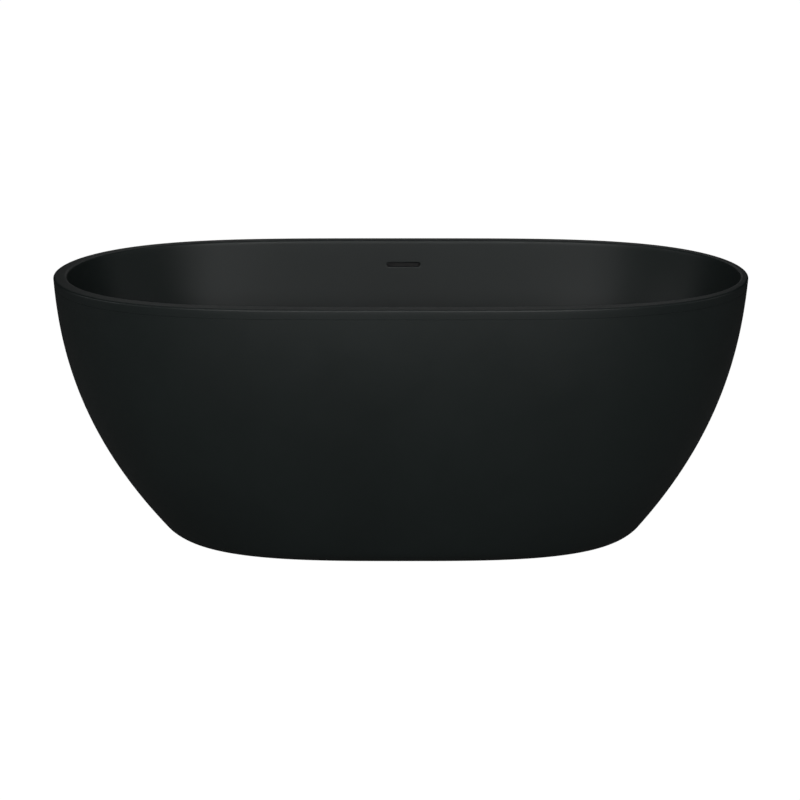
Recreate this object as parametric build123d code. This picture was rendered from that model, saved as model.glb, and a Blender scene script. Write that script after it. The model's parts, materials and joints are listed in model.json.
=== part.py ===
from build123d import *
import os
from math import cos, pi, radians, sin, sqrt, tan

# Freestanding double-ended oval bath, millimetres, +Z up, long side along X.
# Everything is modelled about the drain axis and shifted at the end, so that the
# written parts have their origin under the middle of the rim, on the floor.

# --- overall sizes ---
height = 580.0
rim_left = 756.3        # drain axis to the left tip of the rim
rim_right = 743.7       # drain axis to the right tip of the rim
rim_half_width = 375.0
left_taper = 248.9      # how far the skirt runs in from rim to floor, at each end and side
right_taper = 236.7
side_taper = 110.0

# --- outer skirt shape: share of the inward run that is straight, and its growth below ---
left_straight = 0.12
right_straight = 0.165
outer_growth = 2.27
rim_end_power = 4.0     # Lame exponents of the plan ovals, along X and along Y
rim_side_power = 1.96
base_end_power = 3.2
base_side_power = 2.4
base_round = 30.0       # radius that turns the skirt under
skirt_gap = 2.0         # skirt above the floor, so that the feet carry the bath
skirt_wall = 5.0
skirt_return = 45.0     # width of the flange turned in at the bottom

# --- basin ---
rim_width_left = 28.1   # flat rim, from the outside to the basin's edge
rim_width_right = 15.5
rim_width_side = 31.1
basin_wall = 5.0
basin_end_taper = 228.2
basin_side_taper = 81.9
basin_straight = 0.22
basin_growth = 2.2
floor_level = 136.0
floor_round = 70.0
floor_fall = 3.0        # drop of the basin floor to the drain
floor_laminate = 7.0    # floor thickness at the drain
rim_thickness = 6.0
lip_depth = 20.0        # turned-down edge of the rim, bonded to the skirt below it
rim_outer_round = 3.0
rim_inner_round = 4.0
oval_steps = 56         # points in each plan oval
wall_steps = 9          # plan ovals up each wall

# --- overflow slot and channel ---
slot_length = 78.0
slot_height = 10.0
slot_below_rim = 57.0
channel_margin = 14.0   # overflow channel past each end of the slot
channel_half_height = 26.0
channel_wall = 2.0
channel_clearance = 2.0
window_margin = 4.0
gasket_thickness = 2.0

# --- overflow hose ---
spigot_radius = 7.0
spigot_bore = 5.5
spigot_length = 24.0
hose_slip = 0.1
hose_wall = 1.9
clip_thickness = 1.0
clip_width = 8.0
hose_share = 0.45       # share of the shorter run that each bend takes up

# --- reinforcement board and steel cradle ---
board_thickness = 12.0
board_inset = 12.0
board_hole = 60.0
tube_size = 25.0
tube_wall = 1.5
foot_from_end = 177.0   # foot to the tip of the skirt's base
foot_from_side = 115.0
rail_inside_feet = 45.0
rail_past_feet = 70.0
middle_bar_x = -140.0
bar_past_foot = 22.0
bracket_width = 30.0
bracket_thickness = 3.0
screw_radius = 3.0
screw_head_radius = 5.5
screw_head_height = 4.0
screw_bite = 8.0        # thread in the wood
middle_screw_x = 60.0
end_screw_to_foot = 80.0
bracket_screw_bite = 3.0

# --- levelling feet ---
stud_radius = 5.0
running_gap = 0.05
bush_radius = 9.0
jam_nut_radius = 9.8
jam_nut_height = 6.0
pad_radius = 22.0
pad_height = 8.0
pad_boss_radius = 10.0
pad_boss_height = 9.0
pad_socket = 6.0        # bottom of the socket above the floor
stud_top_clearance = 14.0

# --- waste ---
drain_hole = 26.0
landing_radius = 45.0
waste_gasket = 1.5
flange_radius = 35.0
flange_plate = 3.0
tail_radius = 23.0
tail_length = 45.5
tail_bore = 19.0
seat_top_radius = 24.5
seat_depth = 4.5
lower_gasket = 3.0
lower_gasket_radius = 36.0
back_nut_radius = 34.0
back_nut_height = 8.0
body_radius = 28.0
body_gap = 3.0
body_socket_gap = 0.2
body_socket_depth = 26.0
body_length = 46.0
body_bore = 20.0

# --- click-clack plug ---
plug_travel = 10.0
plug_gap = 0.2
plug_radius = 31.0
plug_thickness = 5.0
plug_round = 2.5
plug_hub_radius = 12.0
plug_hub_length = 7.7
stem_radius = 4.0
stem_stop_radius = 6.0
stem_stop_height = 3.0
seal_radius = 18.6
seal_height = 4.0
guide_radius = 8.0
guide_height = 16.0
guide_ring_height = 8.0
guide_ring_wall = 2.5
guide_arm_width = 4.0
spring_radius = 6.6
spring_wire = 0.7
spring_turns = 6

# --- trap ---
pipe_radius = 20.0
pipe_wall = 2.5
collar_wall = 3.8
collar_slip = 0.2
collar_below_body = 8.0
spigot_in_trap = 14.0
collar_depth = 18.0
collar_length = 23.0    # outside length, past the bottom of the socket
trap_axis = 28.0        # height of the lower run
trap_outlet_axis = 60.0
trap_length = 92.0
trap_back_length = 46.0
trap_nut_wall = 6.0
trap_nut_height = 13.0
trap_seal_height = 2.0
trap_cap_wall = 3.5
trap_cap_depth = 16.0
trap_cap_end = 4.0
outlet_collar = 40.0
outlet_run = 95.0       # from the trap's collar to the axis of the downpipe
outlet_end = 4.0        # end of the downpipe above the floor
outlet_spigot = 32.0    # free end of the downpipe, up to the ring that stops a coupling
stop_ring_width = 3.0
stop_ring_height = 1.5

# --- sizes and levels worked out from the ones above ---
base_left = rim_left - left_taper
base_right = rim_right - right_taper
base_half_width = rim_half_width - side_taper
basin_left = rim_left - rim_width_left
basin_right = rim_right - rim_width_right
basin_half_width = rim_half_width - rim_width_side
foot_x = min(base_left, base_right) - foot_from_end
foot_y = base_half_width - foot_from_side
rail_y = foot_y - rail_inside_feet
rail_half_length = foot_x + rail_past_feet
rail_screw_x = (end_screw_to_foot - foot_x, -middle_screw_x, middle_screw_x, foot_x - end_screw_to_foot)
collar_radius = pipe_radius + collar_slip + collar_wall
trap_nut_radius = collar_radius + trap_nut_wall
trap_cap_radius = pipe_radius + trap_cap_wall
drain_level = floor_level - floor_fall
under_floor = drain_level - floor_laminate
board_bottom = under_floor - board_thickness
rail_bottom = board_bottom - tube_size
bar_bottom = rail_bottom - tube_size
slot_level = height - slot_below_rim
hose_radius = spigot_radius + hose_slip + hose_wall
inlet_level = rail_bottom - hose_radius - channel_clearance
origin_shift = (rim_left - rim_right) / 2


def write(node, shape):
    export_step(Pos(origin_shift, 0, 0) * shape, f"parts/{node}.step")
    print(f"{node:20s} {len(shape.solids()):3d} solid(s) {shape.volume / 1000:10.1f} cm3")


def rod(radius, bottom, top, x=0.0, y=0.0):
    return Pos(x, y, (bottom + top) / 2) * Cylinder(radius, top - bottom)


def rod_x(radius, start, end, z):
    return Pos((start + end) / 2, 0, z) * Rot(0, 90, 0) * Cylinder(radius, end - start)


def rod_y(radius, start, end, z):
    return Pos(0, (start + end) / 2, z) * Rot(90, 0, 0) * Cylinder(radius, end - start)


def block(low, high):
    middle = [(a + b) / 2 for a, b in zip(low, high)]
    size = [b - a for a, b in zip(low, high)]
    return Pos(*middle) * Box(*size)


# --- plan ovals ---

def reach_along(angle, end_power, side_power):
    # distance from the centre to the unit Lame curve in one direction, by halving
    near = 0.0
    far = 2.0
    for _ in range(50):
        middle = (near + far) / 2
        inside = abs(middle * cos(angle)) ** end_power + abs(middle * sin(angle)) ** side_power
        if inside < 1:
            near = middle
        else:
            far = middle
    return near


def oval(sizes, z):
    left, right, half_width, end_power, side_power = sizes
    points = []
    for step in range(oval_steps):
        angle = 2 * pi * (step + 0.5) / oval_steps
        reach = reach_along(angle, end_power, side_power)
        half_length = right if cos(angle) > 0 else left
        points.append((reach * cos(angle) * half_length, reach * sin(angle) * half_width, z))
    return Wire([Edge.make_spline(points, periodic=True)])


def side_of(sizes, x):
    # half width of an oval at a place along its length
    left, right, half_width, end_power, side_power = sizes
    half_length = right if x > 0 else left
    return half_width * (1 - (abs(x) / half_length) ** end_power) ** (1 / side_power)


def between(a, b, share):
    return a + (b - a) * share


def outer_sizes(z, inset=0.0):
    down = max(0.0, (height - z) / height)
    left_in = left_straight * down + (1 - left_straight) * down ** outer_growth
    right_in = right_straight * down + (1 - right_straight) * down ** outer_growth
    return (
        rim_left - left_taper * left_in - inset,
        rim_right - right_taper * right_in - inset,
        rim_half_width - side_taper * left_in - inset,
        between(rim_end_power, base_end_power, down),
        between(rim_side_power, base_side_power, down),
    )


def skirt_sizes(z, wall):
    # the outer shape inside a wall, turned under by the base radius
    inset = wall
    if z < base_round:
        inset = base_round - sqrt((base_round - wall) ** 2 - (base_round - z) ** 2)
    return outer_sizes(z, inset)


def basin_sizes(z, grow):
    down = max(0.0, (height - z) / (height - floor_level))
    inward = basin_straight * down + (1 - basin_straight) * down ** basin_growth
    inset = -grow
    if z < floor_level + floor_round:
        rise = floor_round - (z - floor_level)
        inset = floor_round - sqrt(max(0.0, (floor_round + grow) ** 2 - rise ** 2))
    return (
        basin_left - basin_end_taper * inward - inset,
        basin_right - basin_end_taper * inward - inset,
        basin_half_width - basin_side_taper * inward - inset,
        between(rim_end_power, base_end_power, min(1.0, down)),
        between(rim_side_power, base_side_power, min(1.0, down)),
    )


def levels(bottom, top, count):
    return [bottom + (top - bottom) * step / count for step in range(count + 1)]


def round_levels(bottom, top, count):
    # levels up a quarter round, closer together where it is flatter
    return [bottom + (top - bottom) * (1 - cos(pi / 2 * step / count)) for step in range(count + 1)]


def loft_up(sizes_at, heights, extra):
    return Solid.make_loft([oval(sizes_at(z, extra), z) for z in heights])


# --- shells ---

def skirt_solid(wall, bottom, top):
    turned = loft_up(skirt_sizes, round_levels(bottom, base_round, 5), wall)
    upright = loft_up(skirt_sizes, levels(base_round, top, wall_steps), wall)
    return turned + upright


def outer_skirt():
    top = height - lip_depth
    flange_top = skirt_gap + skirt_wall
    shell = skirt_solid(0.0, skirt_gap, top)
    hollow = loft_up(skirt_sizes, round_levels(flange_top, base_round, 5), skirt_wall)
    hollow += loft_up(skirt_sizes, levels(base_round, height, wall_steps), skirt_wall)
    mouth_sizes = outer_sizes(skirt_gap, skirt_return)
    mouth = Solid.make_loft([oval(mouth_sizes, 0.0), oval(mouth_sizes, flange_top + 1)])
    shell = shell - hollow - mouth
    for x, y in bracket_places():
        shell -= rod(screw_radius, flange_top - bracket_screw_bite, flange_top, x, y)
    return shell


def basin_solid(grow, top):
    low = floor_level - grow
    knee = floor_level + floor_round
    curved = loft_up(basin_sizes, round_levels(low, knee, 7), grow)
    upright = loft_up(basin_sizes, levels(knee, top, wall_steps), grow)
    return curved + upright


def floor_fall_solid():
    circle = (landing_radius, landing_radius, landing_radius, 2.0, 2.0)
    edge = oval(basin_sizes(floor_level, 0.0), floor_level)
    return Solid.make_loft([edge, oval(circle, drain_level)], ruled=True)


def inner_shell():
    lip_bottom = height - lip_depth
    under_rim = height - rim_thickness
    edge = loft_up(outer_sizes, levels(lip_bottom, height, 2), 0.0)
    edge -= loft_up(outer_sizes, levels(lip_bottom, under_rim, 2), skirt_wall)
    floor_plan = Face(oval(basin_sizes(floor_level - basin_wall, basin_wall), under_floor))
    laminate = extrude(floor_plan, floor_level - basin_wall - under_floor + 1)
    shell = edge + basin_solid(basin_wall, height - rim_thickness / 2) + laminate
    shell = shell - basin_solid(0.0, height) - floor_fall_solid()
    shell -= rod(drain_hole, under_floor, floor_level)
    rim_edges = shell.edges().filter_by_position(Axis.Z, height - 0.01, height + 0.01)
    rim_edges = rim_edges.sort_by(SortBy.LENGTH)
    shell = fillet(rim_edges[-1], rim_outer_round)
    inner_edge = shell.edges().filter_by_position(Axis.Z, height - 0.01, height + 0.01)
    shell = fillet(inner_edge.sort_by(SortBy.LENGTH)[0], rim_inner_round)
    return shell - overflow_slot()


def overflow_slot():
    straight = slot_length - slot_height
    reach = rim_half_width - skirt_wall - basin_half_width / 2
    slot = Rot(90, 0, 0) * extrude(SlotCenterToCenter(straight, slot_height), reach / 2, both=True)
    return Pos(0, basin_half_width / 2 + reach / 2, slot_level) * slot


def bond_strip():
    # laminated strip behind the joint of lip and skirt
    strip_height = 24.0
    strip_thickness = 2.0
    middle = height - lip_depth
    heights = levels(middle - strip_height / 2, middle + strip_height / 2, 2)
    outside = loft_up(outer_sizes, heights, skirt_wall)
    return outside - loft_up(outer_sizes, heights, skirt_wall + strip_thickness)


# --- board and cradle ---

def base_board():
    left, right, half_width, end_power, side_power = basin_sizes(floor_level, 0.0)
    plan = (left - board_inset, right - board_inset, half_width - board_inset, end_power, side_power)
    board = extrude(Face(oval(plan, board_bottom)), board_thickness)
    board -= rod(board_hole, board_bottom, under_floor)
    for x, y in rail_screw_places():
        board -= rod(screw_radius, board_bottom, board_bottom + screw_bite, x, y)
    return board


def rail_screw_places():
    return [(x, side * rail_y) for x in rail_screw_x for side in (-1, 1)]


def square_tube(low, high, along):
    tube = block(low, high)
    inside_low = [a + tube_wall for a in low]
    inside_high = [a - tube_wall for a in high]
    inside_low[along] = low[along]
    inside_high[along] = high[along]
    return tube - block(inside_low, inside_high)


def rail(side):
    low = (-rail_half_length, side * rail_y - tube_size / 2, rail_bottom)
    high = (rail_half_length, side * rail_y + tube_size / 2, board_bottom)
    tube = square_tube(low, high, 0)
    for x in rail_screw_x:
        tube -= rod(screw_radius, rail_bottom, board_bottom, x, side * rail_y)
    return tube


def rail_screws():
    screws = []
    for x, y in rail_screw_places():
        shank = rod(screw_radius, rail_bottom, board_bottom + screw_bite, x, y)
        hexagon = extrude(RegularPolygon(screw_head_radius, 6), screw_head_height)
        screws.append(shank + Pos(x, y, rail_bottom - screw_head_height) * hexagon)
    return Compound(screws)


def cross_bar(x, half_length, foot_places):
    low = (x - tube_size / 2, -half_length, bar_bottom)
    high = (x + tube_size / 2, half_length, rail_bottom)
    bar = square_tube(low, high, 1)
    for foot_place_x, foot_place_y in foot_places:
        bar -= rod(bush_radius, bar_bottom, rail_bottom, foot_place_x, foot_place_y)
    return bar


def end_bar_half_length():
    return foot_y + bar_past_foot


def foot_places():
    corners = [(side_x * foot_x, side_y * foot_y) for side_x in (-1, 1) for side_y in (-1, 1)]
    return corners + [(middle_bar_x, 0.0)]


def flange_edges(x):
    # inner edge and usable outer edge of the skirt's turned-in flange, at the same X
    inner = side_of(outer_sizes(skirt_gap, skirt_return), x)
    outer = side_of(skirt_sizes(skirt_gap + skirt_wall + bracket_thickness, skirt_wall), x)
    return inner, outer


def bracket_places():
    places = []
    for side_x in (-1, 1):
        inner, outer = flange_edges(side_x * foot_x)
        for side_y in (-1, 1):
            places.append((side_x * foot_x, side_y * (inner + outer) / 2))
    return places


def skirt_brackets():
    # Z-shaped straps from the ends of the end bars down to the skirt's flange
    brackets = []
    start = end_bar_half_length()
    flange_top = skirt_gap + skirt_wall
    for x, y in bracket_places():
        side = 1 if y > 0 else -1
        inner, outer = flange_edges(x)
        wide_left = x - bracket_width / 2
        wide_right = x + bracket_width / 2
        narrow = min(flange_edges(wide_left)[1], flange_edges(wide_right)[1])
        toe = narrow - channel_clearance
        upright = block(
            (wide_left, start, flange_top), (wide_right, start + bracket_thickness, rail_bottom)
        )
        foot = block((wide_left, start, flange_top), (wide_right, toe, flange_top + bracket_thickness))
        strap = upright + foot
        strap -= rod(screw_radius, flange_top, flange_top + bracket_thickness, x, abs(y))
        brackets.append(strap if side > 0 else mirror(strap, Plane.XZ))
    return Compound(brackets)


def bracket_screws():
    screws = []
    flange_top = skirt_gap + skirt_wall
    head_bottom = flange_top + bracket_thickness
    for x, y in bracket_places():
        shank = rod(screw_radius, flange_top - bracket_screw_bite, head_bottom, x, y)
        head = rod(screw_head_radius, head_bottom, head_bottom + screw_head_height, x, y)
        screws.append(shank + head)
    return Compound(screws)


# --- levelling feet ---

def foot_bushes():
    bushes = []
    for x, y in foot_places():
        bush = rod(bush_radius, bar_bottom, rail_bottom, x, y)
        bushes.append(bush - rod(stud_radius + running_gap, bar_bottom, rail_bottom, x, y))
    return Compound(bushes)


def jam_nuts():
    nuts = []
    low = bar_bottom - jam_nut_height
    for x, y in foot_places():
        nut = Pos(x, y, low) * extrude(RegularPolygon(jam_nut_radius, 6), jam_nut_height)
        nuts.append(nut - rod(stud_radius + running_gap, low, bar_bottom, x, y))
    return Compound(nuts)


def foot_stud(x, y):
    top = board_bottom - stud_top_clearance
    stud = rod(stud_radius, pad_socket + running_gap, top, x, y)
    return chamfer(stud.edges().sort_by(Axis.Z)[-1], 1.0)


def foot_pad(x, y):
    pad = rod(pad_radius, 0.0, pad_height, x, y)
    pad = fillet(pad.edges().sort_by(Axis.Z)[-1], 2.0)
    pad += rod(pad_boss_radius, pad_height, pad_height + pad_boss_height, x, y)
    socket = rod(stud_radius + running_gap, pad_socket, pad_height + pad_boss_height, x, y)
    return pad - socket


# --- overflow ---

def basin_back(z):
    # outside of the basin wall at the middle of the far side
    return basin_sizes(z, basin_wall)[2]


def gap_at(z, outward):
    # a place between basin and skirt, as a share of the way out
    return between(basin_back(z), skirt_sizes(z, skirt_wall)[2], outward)


channel_half_length = slot_length / 2 + channel_margin
channel_top = slot_level + channel_half_height
channel_bottom = slot_level - channel_half_height
channel_front = basin_back(channel_top) + gasket_thickness
channel_back = skirt_sizes(channel_bottom, skirt_wall)[2] - channel_clearance
spigot_bottom = channel_bottom - spigot_length
spigot_y = gap_at(spigot_bottom, 0.5)
window_half_length = slot_length / 2 + window_margin
window_half_height = slot_height / 2 + window_margin


def window(front, back):
    low = (-window_half_length, front, slot_level - window_half_height)
    return block(low, (window_half_length, back, slot_level + window_half_height))


def overflow_gasket():
    bottom = channel_bottom + 2 * channel_wall
    front = basin_back(bottom) - gasket_thickness
    low = (-channel_half_length, front, bottom)
    gasket = block(low, (channel_half_length, channel_front, channel_top))
    return gasket - window(front, channel_front) - basin_solid(basin_wall, height)


def overflow_channel():
    channel = block(
        (-channel_half_length, channel_front, channel_bottom),
        (channel_half_length, channel_back, channel_top),
    )
    channel += rod(spigot_radius, spigot_bottom, channel_bottom + channel_wall, 0, spigot_y)
    hollow = block(
        (-channel_half_length + channel_wall, channel_front + channel_wall, channel_bottom + channel_wall),
        (channel_half_length - channel_wall, channel_back - channel_wall, channel_top - channel_wall),
    )
    bore = rod(spigot_bore, spigot_bottom, channel_bottom + channel_wall, 0, spigot_y)
    return channel - hollow - window(channel_front, channel_front + channel_wall) - bore


def hose_route():
    # down the gap between basin and skirt, under the rail and into the waste tee
    start = channel_bottom - channel_clearance
    end = body_radius + channel_clearance
    down = [(spigot_y, start), (spigot_y, spigot_bottom - spigot_length)]
    knee = floor_level + floor_round
    for share, outward in ((0.66, 0.5), (0.33, 0.55), (0.02, 0.62)):
        level = between(knee, spigot_bottom - spigot_length, share)
        down.append((gap_at(level, outward), level))
    low_y = side_of(skirt_sizes(inlet_level, skirt_wall), 0.0)
    down.append((between(end, low_y, 0.93), between(inlet_level, knee, 0.4)))
    down.append((between(end, low_y, 0.6), inlet_level))
    return down + [(end, inlet_level)]


def bend_radii(route):
    radii = []
    for before, corner, after in zip(route, route[1:], route[2:]):
        first = Vector(corner[0] - before[0], corner[1] - before[1])
        second = Vector(after[0] - corner[0], after[1] - corner[1])
        turn = radians(first.get_angle(second))
        radii.append(hose_share * min(first.length, second.length) / tan(turn / 2))
    return radii


def overflow_hose():
    route = hose_route()
    radii = bend_radii(route)
    print("hose bend radii", [round(radius) for radius in radii])
    path = FilletPolyline(*[(0, y, z) for y, z in route], radius=radii)
    start = Plane(origin=path @ 0, z_dir=path % 0)
    outside = sweep(start * Circle(hose_radius), path=path)
    hollow = sweep(start * Circle(spigot_radius + hose_slip), path=path)
    return outside - hollow


def hose_clips():
    top = channel_bottom - channel_clearance - channel_wall
    upper = rod(hose_radius + clip_thickness, top - clip_width, top, 0, spigot_y)
    upper -= rod(hose_radius, top - clip_width, top, 0, spigot_y)
    start = body_radius + channel_clearance + channel_wall
    lower = rod_y(hose_radius + clip_thickness, start, start + clip_width, inlet_level)
    lower -= rod_y(hose_radius, start, start + clip_width, inlet_level)
    return Compound([upper, lower])


# --- waste ---

flange_bottom = drain_level + waste_gasket
flange_top_level = flange_bottom + flange_plate
tail_bottom = flange_bottom - tail_length
nut_top = under_floor - lower_gasket
nut_bottom = nut_top - back_nut_height
body_top = nut_bottom - body_gap
body_bottom = body_top - body_length


def ring(outer, inner, bottom, top):
    return rod(outer, bottom, top) - rod(inner, bottom, top)


def waste_flange():
    plate = rod(flange_radius, flange_bottom, flange_top_level)
    plate = fillet(plate.edges().sort_by(Axis.Z)[-1], 1.5)
    flange = plate + rod(tail_radius, tail_bottom, flange_bottom)
    flange -= rod(tail_bore, tail_bottom, flange_top_level)
    seat_bottom = flange_top_level - seat_depth
    seat = Pos(0, 0, (seat_bottom + flange_top_level) / 2) * Cone(tail_bore, seat_top_radius, seat_depth)
    return flange - seat


def waste_back_nut():
    nut = Pos(0, 0, nut_bottom) * extrude(RegularPolygon(back_nut_radius, 8), back_nut_height)
    return nut - rod(tail_radius, nut_bottom, nut_top)


def waste_body():
    # tee under the drain, with the hose inlet on its far side and a spigot into the trap
    spigot_end = body_bottom - collar_below_body - spigot_in_trap
    body = rod(body_radius, body_bottom, body_top)
    body += rod(pipe_radius, spigot_end, body_bottom)
    body += rod_y(spigot_radius, 0, body_radius + spigot_length, inlet_level)
    body -= rod(tail_radius + body_socket_gap, body_top - body_socket_depth, body_top)
    body -= rod(body_bore, body_bottom + pipe_wall, body_top)
    body -= rod(pipe_radius - pipe_wall, spigot_end, body_top)
    return body - rod_y(spigot_bore, 0, body_radius + spigot_length, inlet_level)


# --- plug ---

guide_top = flange_bottom - seat_depth - guide_height
guide_bottom = guide_top - guide_height
plug_bottom = flange_top_level + plug_gap + plug_travel
hub_bottom = plug_bottom - plug_hub_length


def plug_guide():
    outer_ring = ring(tail_bore, tail_bore - guide_ring_wall, guide_bottom, guide_bottom + guide_ring_height)
    arm_reach = tail_bore - guide_ring_wall / 2
    arm_top = guide_bottom + guide_ring_height
    half = guide_arm_width / 2
    arms = block((-arm_reach, -half, guide_bottom), (arm_reach, half, arm_top))
    arms += block((-half, -arm_reach, guide_bottom), (half, arm_reach, arm_top))
    guide = outer_ring + arms + rod(guide_radius, guide_bottom, guide_top)
    return guide - rod(stem_radius + running_gap, guide_bottom, guide_top)


def plug_cap():
    cap = rod(plug_radius, plug_bottom, plug_bottom + plug_thickness)
    cap = fillet(cap.edges().sort_by(Axis.Z)[-1], plug_round)
    cap += rod(plug_hub_radius, hub_bottom, plug_bottom)
    return cap - rod(stem_radius, hub_bottom, plug_bottom)


def plug_stem():
    stem = rod(stem_radius, guide_bottom - stem_stop_height, plug_bottom)
    return stem + rod(stem_stop_radius, guide_bottom - stem_stop_height, guide_bottom - plug_gap)


def plug_spring():
    free = hub_bottom - guide_top - 2 * spring_wire
    coil = Helix(pitch=free / spring_turns, height=free, radius=spring_radius)
    start = Plane(origin=coil @ 0, z_dir=coil % 0)
    wire = sweep(start * Circle(spring_wire), path=coil, is_frenet=True)
    return Pos(0, 0, guide_top + spring_wire) * wire


# --- trap ---

collar_top = body_bottom - collar_below_body
collar_end = trap_length + outlet_collar


def trap_body():
    inside = pipe_radius - pipe_wall
    trap = rod(collar_radius, trap_axis, collar_top)
    trap += rod_x(pipe_radius, -trap_back_length, trap_length, trap_axis)
    trap += Pos(trap_length, 0, trap_axis) * Sphere(pipe_radius)
    trap += rod(pipe_radius, trap_axis, trap_outlet_axis, trap_length)
    trap += Pos(trap_length, 0, trap_outlet_axis) * Sphere(pipe_radius)
    trap += rod_x(pipe_radius, trap_length, collar_end, trap_outlet_axis)
    trap += rod_x(collar_radius, collar_end - collar_length, collar_end, trap_outlet_axis)
    bore = rod(inside, trap_axis, collar_top)
    bore += rod_x(inside, -trap_back_length, trap_length, trap_axis)
    bore += Pos(trap_length, 0, trap_axis) * Sphere(inside)
    bore += rod(inside, trap_axis, trap_outlet_axis, trap_length)
    bore += Pos(trap_length, 0, trap_outlet_axis) * Sphere(inside)
    bore += rod_x(inside, trap_length, collar_end, trap_outlet_axis)
    slip = pipe_radius + collar_slip
    bore += rod(slip, collar_top - collar_depth, collar_top)
    bore += rod_x(slip, collar_end - collar_depth, collar_end, trap_outlet_axis)
    return trap - bore


def slip_nut(length, lip):
    # ring nut with a lip over the seal, mouth at z = 0
    nut = extrude(RegularPolygon(trap_nut_radius, 12), length)
    nut -= Pos(0, 0, (length - lip) / 2) * Cylinder(collar_radius, length - lip)
    return nut - Pos(0, 0, length / 2) * Cylinder(pipe_radius + collar_slip, length)


def trap_nuts():
    lip = trap_nut_height / 4
    depth = trap_nut_height - lip - trap_seal_height
    nut = slip_nut(trap_nut_height, lip)
    upper = Pos(0, 0, collar_top - depth) * nut
    side = Pos(collar_end - depth, 0, trap_outlet_axis) * Rot(0, 90, 0) * nut
    return Compound([upper, side])


def trap_seals():
    seal = Cylinder(collar_radius, trap_seal_height) - Cylinder(pipe_radius, trap_seal_height)
    upper = Pos(0, 0, collar_top + trap_seal_height / 2) * seal
    place = Pos(collar_end + trap_seal_height / 2, 0, trap_outlet_axis)
    return Compound([upper, place * Rot(0, 90, 0) * seal])


def trap_cap():
    start = -trap_back_length - trap_cap_end
    cap = rod_x(trap_cap_radius, start, start + trap_cap_depth, trap_axis)
    return cap - rod_x(pipe_radius, -trap_back_length, start + trap_cap_depth, trap_axis)


def outlet_pipe():
    # runs out of the trap and bends down to the waste in the floor
    start = collar_end - collar_depth
    bend = collar_end + outlet_run
    inside = pipe_radius - pipe_wall
    ring_low = outlet_end + outlet_spigot
    pipe = rod_x(pipe_radius, start, bend, trap_outlet_axis)
    pipe += Pos(bend, 0, trap_outlet_axis) * Sphere(pipe_radius)
    pipe += rod(pipe_radius, outlet_end, trap_outlet_axis, bend)
    pipe += rod(pipe_radius + stop_ring_height, ring_low, ring_low + stop_ring_width, bend)
    bore = rod_x(inside, start, bend, trap_outlet_axis)
    bore += Pos(bend, 0, trap_outlet_axis) * Sphere(inside)
    bore += rod(inside, outlet_end, trap_outlet_axis, bend)
    return pipe - bore


# --- write every piece ---

os.makedirs("parts", exist_ok=True)

write("inner_shell", inner_shell())
write("outer_skirt", outer_skirt())
write("bond_strip", bond_strip())

write("base_board", base_board())
write("rail_front", rail(-1))
write("rail_back", rail(1))
write("rail_screws", rail_screws())
places = foot_places()
write("cross_bar_left", cross_bar(-foot_x, end_bar_half_length(), places[0:2]))
write("cross_bar_right", cross_bar(foot_x, end_bar_half_length(), places[2:4]))
write("cross_bar_middle", cross_bar(middle_bar_x, rail_y + tube_size / 2, places[4:5]))
write("skirt_brackets", skirt_brackets())
write("bracket_screws", bracket_screws())

write("foot_bushes", foot_bushes())
write("jam_nuts", jam_nuts())
for number, (x, y) in enumerate(places, start=1):
    write(f"foot_stud_{number}", foot_stud(x, y))
    write(f"foot_pad_{number}", foot_pad(x, y))

write("overflow_gasket", overflow_gasket())
write("overflow_channel", overflow_channel())
write("overflow_hose", overflow_hose())
write("hose_clips", hose_clips())

write("waste_flange", waste_flange())
write("flange_gasket", ring(flange_radius - 1.5, tail_radius, drain_level, flange_bottom))
write("lower_gasket", ring(lower_gasket_radius, tail_radius, nut_top, under_floor))
write("waste_back_nut", waste_back_nut())
write("waste_body", waste_body())

write("plug_cap", plug_cap())
write("plug_stem", plug_stem())
write("plug_seal", ring(seal_radius, plug_hub_radius, plug_bottom - seal_height, plug_bottom))
write("plug_guide", plug_guide())
write("plug_spring", plug_spring())

write("trap_body", trap_body())
write("trap_nuts", trap_nuts())
write("trap_seals", trap_seals())
write("trap_cap", trap_cap())
write("outlet_pipe", outlet_pipe())
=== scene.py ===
import json
import math
import bmesh
import bpy
import numpy as np
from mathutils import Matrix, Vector


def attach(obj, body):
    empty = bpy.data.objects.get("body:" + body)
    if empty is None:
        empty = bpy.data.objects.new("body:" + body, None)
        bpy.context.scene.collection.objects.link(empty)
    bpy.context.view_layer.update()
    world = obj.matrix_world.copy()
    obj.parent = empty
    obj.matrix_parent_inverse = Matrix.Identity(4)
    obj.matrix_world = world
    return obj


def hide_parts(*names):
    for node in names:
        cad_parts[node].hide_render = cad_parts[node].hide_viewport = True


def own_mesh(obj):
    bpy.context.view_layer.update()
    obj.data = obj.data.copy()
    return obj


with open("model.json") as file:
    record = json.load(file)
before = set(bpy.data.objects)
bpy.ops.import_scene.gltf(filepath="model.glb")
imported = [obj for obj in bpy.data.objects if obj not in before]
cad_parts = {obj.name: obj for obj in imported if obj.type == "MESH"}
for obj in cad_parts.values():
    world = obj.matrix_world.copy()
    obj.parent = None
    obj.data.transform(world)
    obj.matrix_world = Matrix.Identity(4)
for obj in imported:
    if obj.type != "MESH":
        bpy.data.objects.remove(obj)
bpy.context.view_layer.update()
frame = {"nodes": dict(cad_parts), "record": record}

nodes = frame["nodes"]
print("frame loaded:", len(nodes), "nodes")

# sizes the shells share with the design, metres, about the drain axis
bath = {
    "height": .580, "left": .7563, "right": .7437, "halfWidth": .375,
    "leftTaper": .2489, "rightTaper": .2367, "sideTaper": .110,
    "leftStraight": .12, "rightStraight": .165, "outerGrowth": 2.27,
    "topPowers": (4.0, 1.96), "basePowers": (3.2, 2.4),
    "drainX": (.7563 - .7437) / 2,
}


# ovals and mesh helpers

ovalSearch = {"reach": 2.0, "halvings": 44}


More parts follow.
